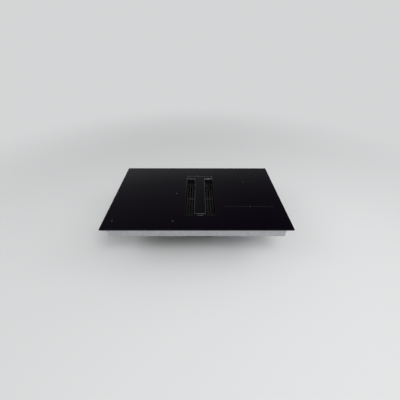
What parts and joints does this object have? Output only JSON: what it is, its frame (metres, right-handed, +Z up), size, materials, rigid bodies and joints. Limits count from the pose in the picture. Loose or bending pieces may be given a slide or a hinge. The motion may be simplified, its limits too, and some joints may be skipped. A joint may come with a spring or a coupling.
{
  "type": "downdraft induction cooktop",
  "caption": "Flush black glass induction hob with a central downdraft vent, lift-out cover, grille, filter and spill tray, and a fan housing with a flat duct outlet.",
  "frame": {"origin": "centre of the glass outline in plan, on the plane of the lowest face of the fan housing", "axes": "+X to the cook's right, +Y to the back of the worktop, +Z up"},
  "size_m": [0.83, 0.515, 0.215],
  "materials": {
    "cooktop_glass": "polished black glass-ceramic",
    "dark_metal": "satin black",
    "black_plastic": "semi-gloss black",
    "housing_plastic": "fine texture, dark grey",
    "tray_plastic": "fine texture, mid grey",
    "steel": "brushed, black-tinted",
    "zinc_sheet": "zinc-coated sheet",
    "screw_steel": "zinc-plated",
    "aluminium": "mill finish",
    "seal_rubber": "matt",
    "copper": "enamelled copper strand",
    "natural_plastic": "natural",
    "ferrite": "sintered",
    "sensor": "white",
    "fibre": "mineral fibre mat",
    "board": "solder mask",
    "parts_black": "component sleeves"
  },
  "bodies": {
    "chassis": {"base_tray": "zinc_sheet", "bond_bead": "seal_rubber", "bridge_plate": "dark_metal", "cable_gland": "black_plastic", "carrier_left": "aluminium", "carrier_right": "aluminium", "carrier_springs": "screw_steel", "clamp_nuts": "screw_steel", "clamp_screws": "screw_steel", "coil_formers": "natural_plastic", "coil_sensors": "sensor", "control_board": "board", "control_box": "housing_plastic", "control_box_lid": "housing_plastic", "fan_frame_left": "black_plastic", "fan_frame_right": "black_plastic", "ferrite_bars": "ferrite", "frame_gasket": "seal_rubber", "glass_seal": "seal_rubber", "glass_top": "cooktop_glass", "heatsinks": "aluminium", "housing_screws": "screw_steel", "inlet_well": "housing_plastic", "insulation_mats": "fibre", "inverter_board_left": "board", "inverter_board_right": "board", "motor_cable": "seal_rubber", "motor_stator": "zinc_sheet", "outlet_spigot": "housing_plastic", "plenum_duct": "housing_plastic", "power_parts": "parts_black", "scroll_base": "housing_plastic", "scroll_cover": "housing_plastic", "terminal_block": "natural_plastic", "terminal_box": "zinc_sheet", "terminal_cover": "zinc_sheet", "touch_board": "board", "touch_holder": "natural_plastic", "vent_frame": "dark_metal", "winding_front_left": "copper", "winding_front_right": "copper", "winding_rear_left": "copper", "winding_rear_right": "copper"},
    "spill_tray": {"spill_tray": "tray_plastic"},
    "grease_filter": {"filter_frame": "steel", "filter_baffles": "steel", "filter_handle": "steel"},
    "grille": {"grille": "black_plastic"},
    "cover": {"cover_frame": "dark_metal", "cover_glass": "cooktop_glass", "cover_pads": "seal_rubber"},
    "impeller": {"impeller": "black_plastic", "motor_rotor": "zinc_sheet"},
    "cooling_fan_left": {"fan_rotor_left": "black_plastic"},
    "cooling_fan_right": {"fan_rotor_right": "black_plastic"},
    "damper": {"damper_flap": "black_plastic"},
    "clamp_front_left": {"clamp_arm_front_left": "screw_steel"},
    "clamp_front_right": {"clamp_arm_front_right": "screw_steel"},
    "clamp_rear_left": {"clamp_arm_rear_left": "screw_steel"},
    "clamp_rear_right": {"clamp_arm_rear_right": "screw_steel"}
  },
  "joints": [
    {"name": "tray_lift", "type": "slide", "parent": "chassis", "child": "spill_tray", "axis": [0, 0, 1], "range_m": [0, 0.23]},
    {"name": "filter_lift", "type": "slide", "parent": "spill_tray", "child": "grease_filter", "axis": [0, 0, 1], "range_m": [0, 0.1]},
    {"name": "grille_lift", "type": "slide", "parent": "grease_filter", "child": "grille", "axis": [0, 0, 1], "range_m": [0, 0.08]},
    {"name": "cover_lift", "type": "slide", "parent": "grille", "child": "cover", "axis": [0, 0, 1], "range_m": [0, 0.06]},
    {"name": "impeller_spin", "type": "hinge", "parent": "chassis", "child": "impeller", "pos_m": [-0.19, 0.062, 0.05], "axis": [0, 0, 1], "continuous": true},
    {"name": "cooling_fan_left_spin", "type": "hinge", "parent": "chassis", "child": "cooling_fan_left", "pos_m": [-0.33, 0.12, 0.163], "axis": [0, 0, 1], "continuous": true},
    {"name": "cooling_fan_right_spin", "type": "hinge", "parent": "chassis", "child": "cooling_fan_right", "pos_m": [0.345, 0.12, 0.163], "axis": [0, 0, 1], "continuous": true},
    {"name": "damper_swing", "type": "hinge", "parent": "chassis", "child": "damper", "pos_m": [-0.211, 0.241, 0.0845], "axis": [1, 0, 0], "range_deg": [0, 75]},
    {"name": "clamp_front_left_swing", "type": "hinge", "parent": "chassis", "child": "clamp_front_left", "pos_m": [-0.379, -0.1955, 0.1362], "axis": [0, 0, 1], "range_deg": [0, 90]},
    {"name": "clamp_front_right_swing", "type": "hinge", "parent": "chassis", "child": "clamp_front_right", "pos_m": [0.379, -0.1955, 0.1362], "axis": [0, 0, -1], "range_deg": [0, 90]},
    {"name": "clamp_rear_left_swing", "type": "hinge", "parent": "chassis", "child": "clamp_rear_left", "pos_m": [-0.379, 0.1955, 0.1362], "axis": [0, 0, -1], "range_deg": [0, 90]},
    {"name": "clamp_rear_right_swing", "type": "hinge", "parent": "chassis", "child": "clamp_rear_right", "pos_m": [0.379, 0.1955, 0.1362], "axis": [0, 0, 1], "range_deg": [0, 90]}
  ]
}
